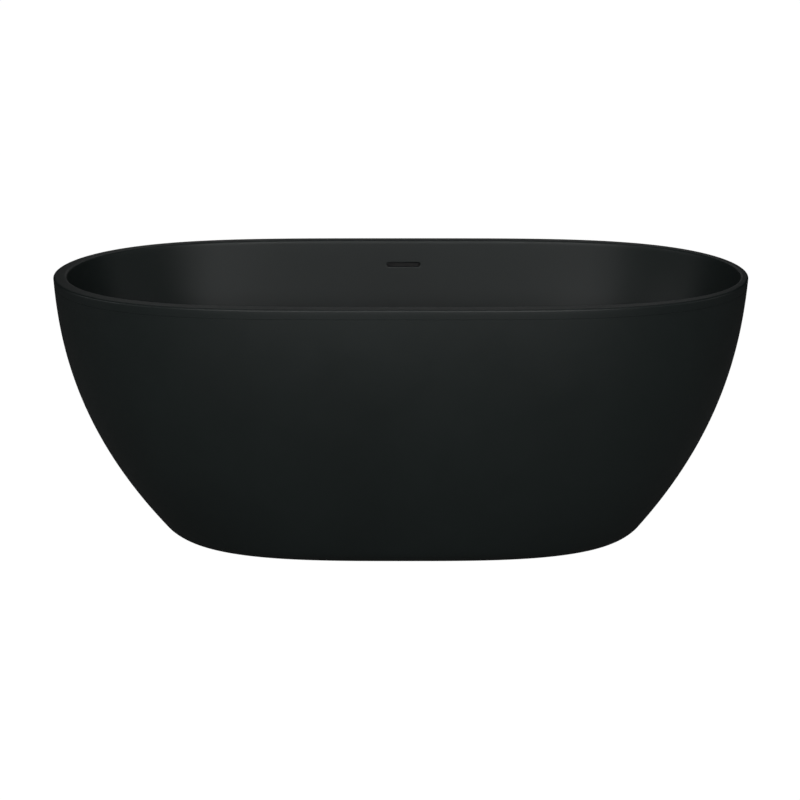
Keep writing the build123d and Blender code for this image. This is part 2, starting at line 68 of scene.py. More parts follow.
def reachAlong(angle, endPower, sidePower):
    # distance from the middle to the edge of the unit oval
    near = np.zeros_like(angle)
    far = np.full_like(angle, ovalSearch["reach"])
    for _ in range(ovalSearch["halvings"]):
        middle = (near + far) / 2
        along = np.abs(middle * np.cos(angle)) ** endPower
        across = np.abs(middle * np.sin(angle)) ** sidePower
        inside = along + across < 1
        near = np.where(inside, middle, near)
        far = np.where(inside, far, middle)
    return near


def ovalRing(sizes, z, angles):
    left, right, halfWidth, endPower, sidePower = sizes
    reach = reachAlong(angles, endPower, sidePower)
    halfLength = np.where(np.cos(angles) > 0, right, left)
    x = reach * np.cos(angles) * halfLength + bath["drainX"]
    y = reach * np.sin(angles) * halfWidth
    return np.stack([x, y, np.full_like(x, z)], axis=1)


def circleRing(radius, z, angles):
    x = radius * np.cos(angles) + bath["drainX"]
    y = radius * np.sin(angles)
    return np.stack([x, y, np.full_like(x, z)], axis=1)


def blendPair(a, b, share):
    return a + (b - a) * share


def outerSizes(z, inset=0.0):
    # plan oval of the bath's outside at a height
    down = max(0.0, (bath["height"] - z) / bath["height"])
    leftIn = bath["leftStraight"] * down + (1 - bath["leftStraight"]) * down ** bath["outerGrowth"]
    rightIn = bath["rightStraight"] * down + (1 - bath["rightStraight"]) * down ** bath["outerGrowth"]
    return (bath["left"] - bath["leftTaper"] * leftIn - inset,
            bath["right"] - bath["rightTaper"] * rightIn - inset,
            bath["halfWidth"] - bath["sideTaper"] * leftIn - inset,
            blendPair(bath["topPowers"][0], bath["basePowers"][0], down),
            blendPair(bath["topPowers"][1], bath["basePowers"][1], down))


def gridFaces(ringCount, columnCount, closed=True, windows=()):
    # quads between neighbouring rings, without windows of (first ring, last ring, first column, last column)
    faces = []
    faceRings = []   # the ring that each face starts from
    for ring in range(ringCount if closed else ringCount - 1):
        following = (ring + 1) % ringCount
        for column in range(columnCount):
            if any(top <= ring < bottom and first <= column < last for top, bottom, first, last in windows):
                continue
            across = (column + 1) % columnCount
            faces.append((ring * columnCount + column, ring * columnCount + across,
                          following * columnCount + across, following * columnCount + column))
            faceRings.append(ring)
    return faces, faceRings


def makePiece(name, points, faces, body, materials, sharpAngle=38, faceMaterials=None):
    mesh = bpy.data.meshes.new(name)
    mesh.from_pydata([tuple(map(float, point)) for point in points], [], faces)
    if faceMaterials is not None:
        mesh.polygons.foreach_set("material_index", faceMaterials)
    bm = bmesh.new()
    bm.from_mesh(mesh)
    unused = [vertex for vertex in bm.verts if not vertex.link_faces]
    bmesh.ops.delete(bm, geom=unused, context="VERTS")
    bmesh.ops.recalc_face_normals(bm, faces=bm.faces)
    bm.to_mesh(mesh)
    bm.free()
    mesh.shade_smooth()
    mesh.set_sharp_from_angle(angle=math.radians(sharpAngle))
    piece = bpy.data.objects.new(name, mesh)
    bpy.context.scene.collection.objects.link(piece)
    for material in materials:
        mesh.materials.append(material)
    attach(piece, body)
    return piece


def lathe(profile, centreX, centreY, steps=96):
    # closed profile of (radius, z) spun about a vertical line
    angles = np.arange(steps) * 2 * math.pi / steps
    points = []
    for radius, z in profile:
        for angle in angles:
            points.append((centreX + radius * math.cos(angle), centreY + radius * math.sin(angle), z))
    faces, _ = gridFaces(len(profile), steps)
    return points, faces


# surface materials

def addNode(tree, kind, inputs=None, **settings):
    node = tree.nodes.new(kind)
    for key, value in settings.items():
        setattr(node, key, value)
    for key, value in (inputs or {}).items():
        if isinstance(value, bpy.types.NodeSocket):
            tree.links.new(value, node.inputs[key])
        else:
            node.inputs[key].default_value = value
    return node


def placed(tree, stretch=(1, 1, 1), turn=(0, 0, 0)):
    where = addNode(tree, "ShaderNodeTexCoord")
    mapping = addNode(tree, "ShaderNodeMapping",
                      {"Vector": where.outputs["Object"], "Scale": stretch, "Rotation": turn})
    return mapping.outputs["Vector"]


def noise(tree, vector, scale, detail, rough, twist=0.0):
    node = addNode(tree, "ShaderNodeTexNoise", {
        "Vector": vector, "Scale": scale, "Detail": detail, "Roughness": rough, "Distortion": twist})
    return node.outputs["Fac"]


def remap(tree, value, low, high, start, end):
    node = addNode(tree, "ShaderNodeMapRange", {
        "Value": value, "From Min": low, "From Max": high, "To Min": start, "To Max": end})
    return node.outputs["Result"]


def tint(tree, share, dark, light):
    # the colour mix has its own numbered sockets: share 0, colours 6 and 7, result 2
    mix = addNode(tree, "ShaderNodeMix", data_type="RGBA")
    tree.links.new(share, mix.inputs[0])
    mix.inputs[6].default_value = (*dark, 1)
    mix.inputs[7].default_value = (*light, 1)
    return mix.outputs[2]


def mathNode(tree, operation, a, b):
    node = addNode(tree, "ShaderNodeMath", operation=operation)
    for socket, value in zip(node.inputs, (a, b)):
        if isinstance(value, bpy.types.NodeSocket):
            tree.links.new(value, socket)
        else:
            socket.default_value = value
    return node.outputs[0]


def mixed(tree, share, first, second):
    # a share of the first and the rest of the second
    firstPart = mathNode(tree, "MULTIPLY", first, share)
    secondPart = mathNode(tree, "MULTIPLY", second, 1 - share)
    return mathNode(tree, "ADD", firstPart, secondPart)


# what all finishes share; each noise has its detail, roughness and distortion
finish = {
    "patchShare": .7, "patchNoise": (4, .6, .3), "grainNoise": (3, .6), "contrast": (.35, .65),
    "flakeColour": .65, "flakeHeight": .6,
    "strandWays": (((1, 9, 2), (0, 0, .6)), ((9, 1, 2), (0, .3, -.5))), "strandNoise": (2, .5, .4),
    "strandContrast": (.45, .7), "strandHeight": .7,
    "smudgeScale": 2.3, "smudgeShift": 1.7, "smudgeNoise": (5, .62, .6), "smudgeContrast": (.3, .7),
    "waveScale": 6, "waveNoise": (2, .5), "waveBump": .2, "waveDepth": .0004,
    "metal": 0.0, "ior": 1.5, "specular": .5, "sharpAngle": 35,
}


def surface(name, look):
    material = bpy.data.materials.new(name)
    material.use_nodes = True
    tree = material.node_tree
    tree.nodes.clear()
    plain = placed(tree)
    drawn = placed(tree, look.get("stretch", (1, 1, 1)), look.get("turn", (0, 0, 0)))
    patches = noise(tree, plain, look["patchScale"], *finish["patchNoise"])
    grain = noise(tree, drawn, look["grainScale"], *finish["grainNoise"])
    share = mixed(tree, look.get("patchShare", finish["patchShare"]), patches, grain)
    share = remap(tree, share, *finish["contrast"], 0, 1)
    height = grain
    if look.get("flakes"):   # pressed chips of wood
        cells = addNode(tree, "ShaderNodeTexVoronoi", {"Vector": drawn, "Scale": look["flakes"], "Randomness": 1.0})
        tone = addNode(tree, "ShaderNodeSeparateColor", {"Color": cells.outputs["Color"]}).outputs[0]
        share = mixed(tree, finish["flakeColour"], tone, share)
        height = mixed(tree, finish["flakeHeight"], cells.outputs["Distance"], grain)
    if look.get("strands"):   # glass strands in two directions, laid over each other
        oneWay, otherWay = [noise(tree, placed(tree, stretch, turn), look["strands"], *finish["strandNoise"])
                            for stretch, turn in finish["strandWays"]]
        strands = mathNode(tree, "MAXIMUM", oneWay, otherWay)
        share = remap(tree, strands, *finish["strandContrast"], 0, 1)
        height = mixed(tree, finish["strandHeight"], strands, grain)
    colour = tint(tree, share, look["dark"], look["light"])
    smudgeScale = look["patchScale"] * finish["smudgeScale"] + finish["smudgeShift"]
    smudges = noise(tree, plain, smudgeScale, *finish["smudgeNoise"])
    roughness = remap(tree, smudges, *finish["smudgeContrast"], *look["rough"])
    waves = noise(tree, plain, look.get("waveScale", finish["waveScale"]), *finish["waveNoise"])
    bumpFine = addNode(tree, "ShaderNodeBump", {
        "Height": height, "Strength": look["bump"], "Distance": look["grainDepth"]})
    bumpWide = addNode(tree, "ShaderNodeBump", {
        "Height": waves, "Strength": look.get("waveBump", finish["waveBump"]),
        "Distance": look.get("waveDepth", finish["waveDepth"]), "Normal": bumpFine.outputs["Normal"]})
    shader = addNode(tree, "ShaderNodeBsdfPrincipled", {
        "Base Color": colour, "Roughness": roughness, "Normal": bumpWide.outputs["Normal"],
        "Metallic": look.get("metal", finish["metal"]), "IOR": look.get("ior", finish["ior"]),
        "Specular IOR Level": look.get("specular", finish["specular"])})
    out = addNode(tree, "ShaderNodeOutputMaterial")
    tree.links.new(shader.outputs[0], out.inputs["Surface"])
    return material


acrylicLook = {"dark": (.0137, .0188, .0181), "light": (.0165, .0226, .0219), "patchScale": 3.2,
               "grainScale": 1400, "patchShare": .8, "rough": (.375, .435), "bump": .12, "grainDepth": .00006,
               "waveScale": 11, "waveBump": .12, "waveDepth": .0005}
matBlack = surface("silkyBlackAcrylic", acrylicLook)
backingLook = {"dark": (.018, .019, .018), "light": (.055, .055, .050), "patchScale": 7, "grainScale": 420,
               "strands": 34, "rough": (.34, .60), "bump": .55, "grainDepth": .0006, "waveBump": .3,
               "waveDepth": .001}
rawBacking = surface("laminatedBacking", backingLook)
otherLooks = {
    "glass_fibre": {"dark": (.30, .28, .20), "light": (.62, .60, .50), "patchScale": 9, "grainScale": 500,
                    "strands": 46, "rough": (.32, .58), "bump": .6, "grainDepth": .0006},
    "chipboard": {"dark": (.22, .13, .065), "light": (.62, .46, .28), "patchScale": 5, "grainScale": 700,
                  "flakes": 130, "stretch": (1, 1.7, 1.2), "turn": (0, 0, .5), "rough": (.72, .9), "bump": .7,
                  "grainDepth": .0006, "specular": .25},
    "frame_steel": {"dark": (.010, .010, .011), "light": (.019, .019, .021), "patchScale": 8, "grainScale": 900,
                    "rough": (.42, .58), "bump": .35, "grainDepth": .00025, "patchShare": .5},
    "bracket_steel": {"dark": (.012, .012, .013), "light": (.024, .024, .026), "patchScale": 14, "grainScale": 950,
                      "rough": (.40, .6), "bump": .4, "grainDepth": .00025, "patchShare": .5},
    "zinc_steel": {"dark": (.42, .42, .40), "light": (.66, .67, .66), "patchScale": 60, "grainScale": 300,
                   "stretch": (1, 1, 9), "metal": 1.0, "rough": (.24, .42), "bump": .25, "grainDepth": .00012},
    "seal_rubber": {"dark": (.010, .010, .010), "light": (.024, .023, .022), "patchScale": 40, "grainScale": 1500,
                    "rough": (.62, .8), "bump": .4, "grainDepth": .00015, "specular": .35},
    "channel_plastic": {"dark": (.014, .014, .014), "light": (.028, .028, .028), "patchScale": 22, "grainScale": 1200,
                        "rough": (.38, .52), "bump": .3, "grainDepth": .00012},
    "hose_plastic": {"dark": (.20, .20, .20), "light": (.32, .32, .31), "patchScale": 18, "grainScale": 900,
                     "rough": (.36, .55), "bump": .3, "grainDepth": .0002},
    "black_metal": {"dark": (.0137, .0182, .0176), "light": (.0175, .0228, .0222), "patchScale": 30, "grainScale": 1800,
                    "rough": (.36, .46), "bump": .25, "grainDepth": .00006},
    "brass_guide": {"dark": (.50, .33, .11), "light": (.78, .57, .24), "patchScale": 50, "grainScale": 700,
                    "stretch": (1, 1, 6), "metal": 1.0, "rough": (.2, .42), "bump": .25, "grainDepth": .0001},
    "trap_plastic": {"dark": (.62, .62, .59), "light": (.76, .76, .74), "patchScale": 14, "grainScale": 1100,
                     "rough": (.30, .44), "bump": .2, "grainDepth": .00012},
    "spring_steel": {"dark": (.44, .44, .43), "light": (.62, .62, .62), "patchScale": 90, "grainScale": 1200,
                     "metal": 1.0, "rough": (.2, .34), "bump": .2, "grainDepth": .00008},
    "pad_plastic": {"dark": (.011, .011, .011), "light": (.022, .022, .022), "patchScale": 30, "grainScale": 1300,
                    "rough": (.45, .62), "bump": .35, "grainDepth": .00015},
}
looks = {name: surface(name, look) for name, look in otherLooks.items()}
looks["matt_acrylic"] = matBlack
for part in frame["record"]["subparts"]:   # every CAD piece keeps its shape and takes the better finish
    mesh = nodes[part["node"]].data
    mesh.materials.clear()
    mesh.materials.append(looks[part["material_slot"]])
    mesh.set_sharp_from_angle(angle=math.radians(finish["sharpAngle"]))
print("materials made:", len(looks))


# basin with its rim and overflow slot

basin = {
    "left": .7563 - .0281, "right": .7437 - .0155, "halfWidth": .375 - .0311, "wall": .005,
    "endTaper": .2282, "sideTaper": .0819, "straight": .22, "growth": 2.2,
    "floor": .136, "floorRound": .070, "drainLevel": .133, "under": .126, "underRim": .574, "lipBottom": .560,
    "outerRound": .004, "innerRound": .004, "lipWall": .005, "lipEdge": .0006, "drainHole": .026, "landing": .045,
    "fallPower": 1.3,   # how the floor's slope grows towards the drain
    "drainEdge": ((.0295, .133), (.0275, .1330), (.0265, .1327), (.0260, .1320), (.0260, .126)),   # radius, height
}
basinRows = {   # rings of faces in each stretch of the shell
    "lip": 2, "rimRound": 8, "rimFlat": 6, "aboveSlot": 5, "slot": 8, "belowSlot": 25, "floorRound": 12, "floor": 12,
    "under": 10,
}
slotHole = {"length": .078, "height": .010, "level": .523, "edge": .0012, "edgeSteps": 4,
            "patchHalf": 6.0, "patchRise": .021,   # half of the window around the slot, degrees and metres
            "wallShares": (.22, .42, .6, .76, .89, 1.0), "backShare": .5, "backRings": 2}
shellSharpAngle = 32
columns = {"step": 1.5, "fineStep": .375, "fineFrom": 83.25, "fineTo": 96.75}   # degrees, finer around the slot

coarse = np.arange(0, 360, columns["step"])
fine = np.arange(columns["fineFrom"], columns["fineTo"] + columns["fineStep"] / 2, columns["fineStep"])
outsideFine = (coarse < columns["fineFrom"]) | (coarse > columns["fineTo"])
angles = np.radians(np.sort(np.concatenate([coarse[outsideFine], fine])))
columnCount = len(angles)


def basinSizes(z, grow=0.0):
    # plan oval of the basin's inside at a height, or of its outside when grown by the wall
    down = max(0.0, (bath["height"] - z) / (bath["height"] - basin["floor"]))
    inward = basin["straight"] * down + (1 - basin["straight"]) * down ** basin["growth"]
    inset = -grow
    if z < basin["floor"] + basin["floorRound"]:
        rise = basin["floorRound"] - (z - basin["floor"])
        inset = basin["floorRound"] - math.sqrt(max(0.0, (basin["floorRound"] + grow) ** 2 - rise ** 2))
    share = min(1.0, down)
    return (basin["left"] - basin["endTaper"] * inward - inset,
            basin["right"] - basin["endTaper"] * inward - inset,
            basin["halfWidth"] - basin["sideTaper"] * inward - inset,
            blendPair(bath["topPowers"][0], bath["basePowers"][0], share),
            blendPair(bath["topPowers"][1], bath["basePowers"][1], share))


def wallY(x, z, grow):
    # where the far wall is, so that the slot's edges lie on it
    left, right, halfWidth, endPower, sidePower = basinSizes(z, grow)
    fromDrain = x - bath["drainX"]
    halfLength = right if fromDrain > 0 else left
    return halfWidth * (1 - (abs(fromDrain) / halfLength) ** endPower) ** (1 / sidePower)


def roundLevels(bottom, top, count):
    # heights up a quarter round, closest together at the bottom
    return [bottom + (top - bottom) * (1 - math.cos(math.pi / 2 * step / count)) for step in range(count + 1)]


topLevel = bath["height"]
kneeLevel = basin["floor"] + basin["floorRound"]
slotLow = slotHole["level"] - slotHole["patchRise"]
slotHigh = slotHole["level"] + slotHole["patchRise"]
wallLevels = list(np.linspace(topLevel - basin["innerRound"], slotHigh, basinRows["aboveSlot"] + 1)[:-1])
wallLevels += list(np.linspace(slotHigh, slotLow, basinRows["slot"] + 1))
wallLevels += list(np.linspace(slotLow, kneeLevel, basinRows["belowSlot"] + 1)[1:])
roundedLevels = roundLevels(basin["floor"], kneeLevel, basinRows["floorRound"])[::-1][1:]

rings = [ovalRing(outerSizes(basin["lipBottom"], basin["lipEdge"]), basin["lipBottom"], angles)]
for step in range(basinRows["lip"] + 1):   # outer face of the lip
    z = blendPair(basin["lipBottom"] + basin["lipEdge"], topLevel - basin["outerRound"], step / basinRows["lip"])
    rings.append(ovalRing(outerSizes(z), z, angles))
for step in range(1, basinRows["rimRound"] + 1):   # outer round of the rim
    turn = math.pi / 2 * step / basinRows["rimRound"]
    z = topLevel - basin["outerRound"] * (1 - math.sin(turn))
    rings.append(ovalRing(outerSizes(z, basin["outerRound"] * (1 - math.cos(turn))), z, angles))
flatOut = rings[-1]
flatIn = ovalRing(basinSizes(topLevel, basin["innerRound"]), topLevel, angles)
for step in range(1, basinRows["rimFlat"] + 1):   # flat of the rim
    rings.append(blendPair(flatOut, flatIn, step / basinRows["rimFlat"]))
for step in range(1, basinRows["rimRound"] + 1):   # inner round of the rim
    turn = math.pi / 2 * step / basinRows["rimRound"]
    z = topLevel - basin["innerRound"] * (1 - math.cos(turn))
    rings.append(ovalRing(basinSizes(z, basin["innerRound"] * (1 - math.sin(turn))), z, angles))
frontStart = len(rings) - 1   # this ring is at wallLevels[0]
for z in wallLevels[1:] + roundedLevels:
    rings.append(ovalRing(basinSizes(z), z, angles))
floorEdge = rings[-1]
landing = circleRing(basin["landing"], basin["drainLevel"], angles)
for step in range(1, basinRows["floor"] + 1):   # floor falling to the drain
    rings.append(blendPair(floorEdge, landing, 1 - (1 - step / basinRows["floor"]) ** basin["fallPower"]))
for radius, z in basin["drainEdge"]:
    rings.append(circleRing(radius, z, angles))
backStart = len(rings) - 1
underHole = circleRing(basin["drainHole"], basin["under"], angles)
underEdge = ovalRing(basinSizes(basin["floor"] - basin["wall"], basin["wall"]), basin["under"], angles)
for step in range(1, basinRows["under"] + 1):   # laminated underside
    rings.append(blendPair(underHole, underEdge, step / basinRows["under"]))
for z in roundLevels(basin["floor"] - basin["wall"], kneeLevel, basinRows["floorRound"]):
    rings.append(ovalRing(basinSizes(z, basin["wall"]), z, angles))
backWallStart = len(rings) - 1   # this ring is at kneeLevel, the last of wallLevels
backLevels = wallLevels[::-1][:-1] + [basin["underRim"]]
for z in backLevels[1:]:
    rings.append(ovalRing(basinSizes(z, basin["wall"]), z, angles))
underIn = rings[-1]
underOut = ovalRing(outerSizes(basin["underRim"], basin["lipWall"]), basin["underRim"], angles)
rings.append(blendPair(underIn, underOut, .5))
rings.append(underOut)
rings.append(ovalRing(outerSizes(basin["lipBottom"], basin["lipWall"]), basin["lipBottom"], angles))

# the window that the slot is cut through, on the front and on the back of the wall
firstColumn = int(np.argmin(np.abs(angles - math.radians(90 - slotHole["patchHalf"]))))
lastColumn = int(np.argmin(np.abs(angles - math.radians(90 + slotHole["patchHalf"]))))
frontTop = frontStart + basinRows["aboveSlot"]
frontBottom = frontTop + basinRows["slot"]
backBottom = backWallStart + backLevels.index(wallLevels[basinRows["aboveSlot"] + basinRows["slot"]])
backTop = backBottom + basinRows["slot"]
windows = [(frontTop, frontBottom, firstColumn, lastColumn), (backBottom, backTop, firstColumn, lastColumn)]
faces, faceRings = gridFaces(len(rings), columnCount, windows=windows)
points = np.concatenate(rings)
faceMaterials = [1 if ring >= backStart else 0 for ring in faceRings]   # 0 black, 1 raw laminate


def windowLoop(topRow, bottomRow, direction):
    # vertices round the window, from the middle of its +X side and upwards first
    rows = list(range(topRow, bottomRow, direction)) + [bottomRow]
    loop = [(row, firstColumn) for row in rows[len(rows) // 2::-1]]
    loop += [(topRow, column) for column in range(firstColumn + 1, lastColumn)]
    loop += [(row, lastColumn) for row in rows]
    loop += [(bottomRow, column) for column in range(lastColumn - 1, firstColumn, -1)]
    loop += [(row, firstColumn) for row in rows[:len(rows) // 2:-1]]
    return [row * columnCount + column for row, column in loop]


def slotOutline(loopPoints):
    # points of the rounded slot that match the window's corners by their share of the perimeter
    flat = np.array([[point[0], point[2]] for point in loopPoints])
    gaps = np.linalg.norm(np.roll(flat, -1, axis=0) - flat, axis=1)
    share = np.concatenate([[0], np.cumsum(gaps)[:-1]]) / gaps.sum()
    radius = slotHole["height"] / 2
    straight = slotHole["length"] - slotHole["height"]
    quarter = math.pi * radius / 2
    total = 2 * straight + 2 * math.pi * radius
    outline = []
    for along in share * total:
        if along < quarter:
            turn = along / radius
            spot, out = (straight / 2, 0), (math.cos(turn), math.sin(turn))
        elif along < quarter + straight:
            spot, out = (straight / 2 - (along - quarter), 0), (0, 1)
        elif along < 3 * quarter + straight:
            turn = (along - straight) / radius
            spot, out = (-straight / 2, 0), (math.cos(turn), math.sin(turn))
        elif along < 3 * quarter + 2 * straight:
            spot, out = (-straight / 2 + (along - 3 * quarter - straight), 0), (0, -1)
        else:
            turn = (along - 2 * straight) / radius
            spot, out = (straight / 2, 0), (math.cos(turn), math.sin(turn))
        outline.append((spot[0] + bath["drainX"], spot[1] + slotHole["level"], out[0], out[1]))
    return outline


extra = []   # points of the slot's edges, numbered after those of the rings


def addLoop(loopPoints):
    start = len(points) + len(extra)
    extra.extend(loopPoints)
    return list(range(start, start + len(loopPoints)))


def joinLoops(first, second, material):
    for k in range(len(first)):
        after = (k + 1) % len(first)
        faces.append((first[k], first[after], second[after], second[k]))
        faceMaterials.append(material)


frontLoop = windowLoop(frontTop, frontBottom, 1)
backLoop = windowLoop(backTop, backBottom, -1)
frontCorners = [points[k] for k in frontLoop]
backCorners = [points[k] for k in backLoop]
outline = slotOutline(frontCorners)
slotRadius = slotHole["height"] / 2
loops = [frontLoop]
for share in slotHole["wallShares"]:   # across the wall, from the window to the slot's edge
    ring = []
    for corner, (x, z, outX, outZ) in zip(frontCorners, outline):
        edgeX = blendPair(corner[0], x + outX * (slotRadius + slotHole["edge"]), share)
        edgeZ = blendPair(corner[2], z + outZ * (slotRadius + slotHole["edge"]), share)
        ring.append((edgeX, wallY(edgeX, edgeZ, 0.0), edgeZ))
    loops.append(addLoop(ring))
for step in range(1, slotHole["edgeSteps"] + 1):   # small round over the slot's edge
    turn = math.pi / 2 * step / slotHole["edgeSteps"]
    grown = slotRadius + slotHole["edge"] * (1 - math.sin(turn))
    ring = []
    for x, z, outX, outZ in outline:
        edgeX = x + outX * grown
        edgeZ = z + outZ * grown
        ring.append((edgeX, wallY(edgeX, edgeZ, 0.0) + slotHole["edge"] * (1 - math.cos(turn)), edgeZ))
    loops.append(addLoop(ring))
farEdge = []
for x, z, outX, outZ in outline:   # the slot's edge on the back of the wall
    edgeX = x + outX * slotRadius
    edgeZ = z + outZ * slotRadius
    farEdge.append((edgeX, wallY(edgeX, edgeZ, basin["wall"]), edgeZ))
loops.append(addLoop(farEdge))
ring = []
for corner, edge in zip(backCorners, farEdge):   # between that edge and the window on the back
    edgeX = blendPair(edge[0], corner[0], slotHole["backShare"])
    edgeZ = blendPair(edge[2], corner[2], slotHole["backShare"])
    ring.append((edgeX, wallY(edgeX, edgeZ, basin["wall"]), edgeZ))
loops.append(addLoop(ring))
loops.append(backLoop)
backJoin = len(loops) - 1 - slotHole["backRings"]   # the first join that lies on the back
for number, (first, second) in enumerate(zip(loops, loops[1:])):
    joinLoops(first, second, 1 if number >= backJoin else 0)
basinShell = makePiece("basinShell", np.concatenate([points, np.array(extra)]), faces, "tub",
                       [matBlack, rawBacking], shellSharpAngle, faceMaterials)
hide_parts("inner_shell")
print("basin shell:", len(basinShell.data.polygons), "faces")


# outer skirt

skirt = {"top": .560, "wall": .005, "baseRound": .030, "gap": .002, "inward": .045, "jointEdge": .0004}
skirtRows = {"outside": 43, "outsideRound": 12, "flange": 4, "insideRound": 8, "inside": 23}   # rings of faces


def skirtSizes(z, wall):
    # plan oval of the skirt at a height, on its outside or, inset by the wall, on its inside
    inset = wall
    if z < skirt["baseRound"]:
        inset = skirt["baseRound"] - math.sqrt((skirt["baseRound"] - wall) ** 2 - (skirt["baseRound"] - z) ** 2)
    return outerSizes(z, inset)


skirtRings = [ovalRing(outerSizes(skirt["top"], skirt["jointEdge"]), skirt["top"], angles)]
for z in np.linspace(skirt["top"] - skirt["jointEdge"], skirt["baseRound"], skirtRows["outside"] + 1):
    skirtRings.append(ovalRing(skirtSizes(z, 0.0), z, angles))
for z in roundLevels(skirt["gap"], skirt["baseRound"], skirtRows["outsideRound"])[::-1][1:]:
    skirtRings.append(ovalRing(skirtSizes(z, 0.0), z, angles))
turnedEdge = skirtRings[-1]
mouth = ovalRing(outerSizes(skirt["gap"], skirt["inward"]), skirt["gap"], angles)
for step in range(1, skirtRows["flange"] + 1):   # flange under the base
    skirtRings.append(blendPair(turnedEdge, mouth, step / skirtRows["flange"]))
insideStart = len(skirtRings)
flangeTop = skirt["gap"] + skirt["wall"]
mouthTop = mouth + np.array([0, 0, skirt["wall"]])
skirtRings.append(mouthTop)
flangeEdge = ovalRing(skirtSizes(flangeTop, skirt["wall"]), flangeTop, angles)
for step in range(1, skirtRows["flange"] + 1):
    skirtRings.append(blendPair(mouthTop, flangeEdge, step / skirtRows["flange"]))
for z in roundLevels(flangeTop, skirt["baseRound"], skirtRows["insideRound"])[1:]:
    skirtRings.append(ovalRing(skirtSizes(z, skirt["wall"]), z, angles))
for z in np.linspace(skirt["baseRound"], skirt["top"], skirtRows["inside"] + 1)[1:]:
    skirtRings.append(ovalRing(skirtSizes(z, skirt["wall"]), z, angles))
skirtFaces, skirtFaceRings = gridFaces(len(skirtRings), columnCount)
skirtMaterials = [1 if ring >= insideStart else 0 for ring in skirtFaceRings]
skirtShell = makePiece("skirtShell", np.concatenate(skirtRings), skirtFaces, "tub",
                       [matBlack, rawBacking], shellSharpAngle, skirtMaterials)
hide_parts("outer_skirt")
print("skirt shell:", len(skirtShell.data.polygons), "faces")


# waste, plug and feet

def roundCorner(centreR, centreZ, radius, start, end, steps=5):
    # arc of a turned profile, angles in degrees from +radius towards +Z
    corner = []
    for k in range(steps + 1):
        angle = math.radians(start + (end - start) * k / steps)
        corner.append((centreR + radius * math.cos(angle), centreZ + radius * math.sin(angle)))
    return corner


def turned(name, profile, place, body, slotName, closed=True, steps=96, sharpAngle=38):
    # spins a profile; an open one starts and ends on the axis
    rings = profile if closed else profile[1:-1]
    points, faces = lathe(rings, place[0], place[1], steps)
    if not closed:
        faces = [face for face in faces if max(face) - min(face) < (len(rings) - 1) * steps]   # no wall on the axis
        for end, ring in ((profile[0], 0), (profile[-1], len(rings) - 1)):
            hub = len(points)
            points.append((place[0], place[1], end[1]))
            for j in range(steps):
                faces.append((hub, ring * steps + j, ring * steps + (j + 1) % steps))
    return makePiece(name, points, faces, body, [looks[slotName]], sharpAngle)


drain = (bath["drainX"], 0.0)
flange = {"outer": .035, "top": .1375, "under": .1345, "bore": .019, "tail": .023, "tailEnd": .089,
          "threadPitch": .0022, "threadDepth": .0006, "threadTop": .1195, "threadLead": .001,
          "threadRise": .45, "threadFall": .6,   # where the crest starts and ends, shares of the pitch
          "edge": .0004, "tailEdge": .0008, "outerRound": .0016, "steps": 120,
          "lip": ((.0275, .1375), (.0251, .1375), (.0245, .1372), (.0215, .1350), (.0193, .1332), (.019, .1327))}
flangeProfile = [(flange["bore"], flange["tailEnd"] + flange["edge"]),
                 (flange["bore"] + flange["edge"], flange["tailEnd"]),
                 (flange["tail"] - flange["tailEdge"], flange["tailEnd"])]
threadStart = flange["tailEnd"] + flange["threadLead"]
turns = int((flange["threadTop"] - threadStart) / flange["threadPitch"])
for k in range(turns):   # thread of the tail
    z = threadStart + k * flange["threadPitch"]
    flangeProfile += [(flange["tail"] - flange["threadDepth"], z),
                      (flange["tail"], z + flange["threadRise"] * flange["threadPitch"]),
                      (flange["tail"], z + flange["threadFall"] * flange["threadPitch"])]
flangeProfile += [(flange["tail"], flange["threadTop"] + flange["threadLead"]), (flange["tail"], flange["under"]),
                  (flange["outer"] - flange["edge"], flange["under"])]
flangeProfile += roundCorner(flange["outer"] - flange["outerRound"], flange["top"] - flange["outerRound"],
                             flange["outerRound"], 0, 90)
flangeProfile += flange["lip"]   # down to the plug's seat and into the bore
wasteFlange = turned("wasteFlangePiece", flangeProfile, drain, "tub", "black_metal", True, flange["steps"])
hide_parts("waste_flange")

cap = {"radius": .031, "under": .1477, "top": .1527, "hub": .012, "hubEnd": .140, "stem": .004,
       "dome": .0007, "domeSteps": 9, "stemRound": .0003, "hubRound": .0005, "hubFillet": .0006,
       "lowRound": .0008, "topRound": .0022, "topTurn": 84, "steps": 120}
capProfile = [(0, cap["under"]), (cap["stem"], cap["under"]), (cap["stem"], cap["hubEnd"] + cap["stemRound"]),
              (cap["stem"] + cap["stemRound"], cap["hubEnd"]), (cap["hub"] - cap["hubRound"], cap["hubEnd"]),
              (cap["hub"], cap["hubEnd"] + cap["hubRound"]), (cap["hub"], cap["under"] - cap["hubFillet"]),
              (cap["hub"] + cap["hubFillet"], cap["under"])]
capProfile += roundCorner(cap["radius"] - cap["lowRound"], cap["under"] + cap["lowRound"], cap["lowRound"], -90, 0, 4)
domeRadius = cap["radius"] - cap["topRound"]
capProfile += roundCorner(domeRadius, cap["top"] - cap["dome"] - cap["topRound"], cap["topRound"], 0, cap["topTurn"], 7)
for k in range(1, cap["domeSteps"]):
    inward = k / cap["domeSteps"]
    capProfile.append((domeRadius * (1 - inward), cap["top"] - cap["dome"] * (1 - inward) ** 2))
capProfile.append((0, cap["top"]))
plugCap = turned("plugCapPiece", capProfile, drain, "plug", "black_metal", False, cap["steps"])
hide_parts("plug_cap")

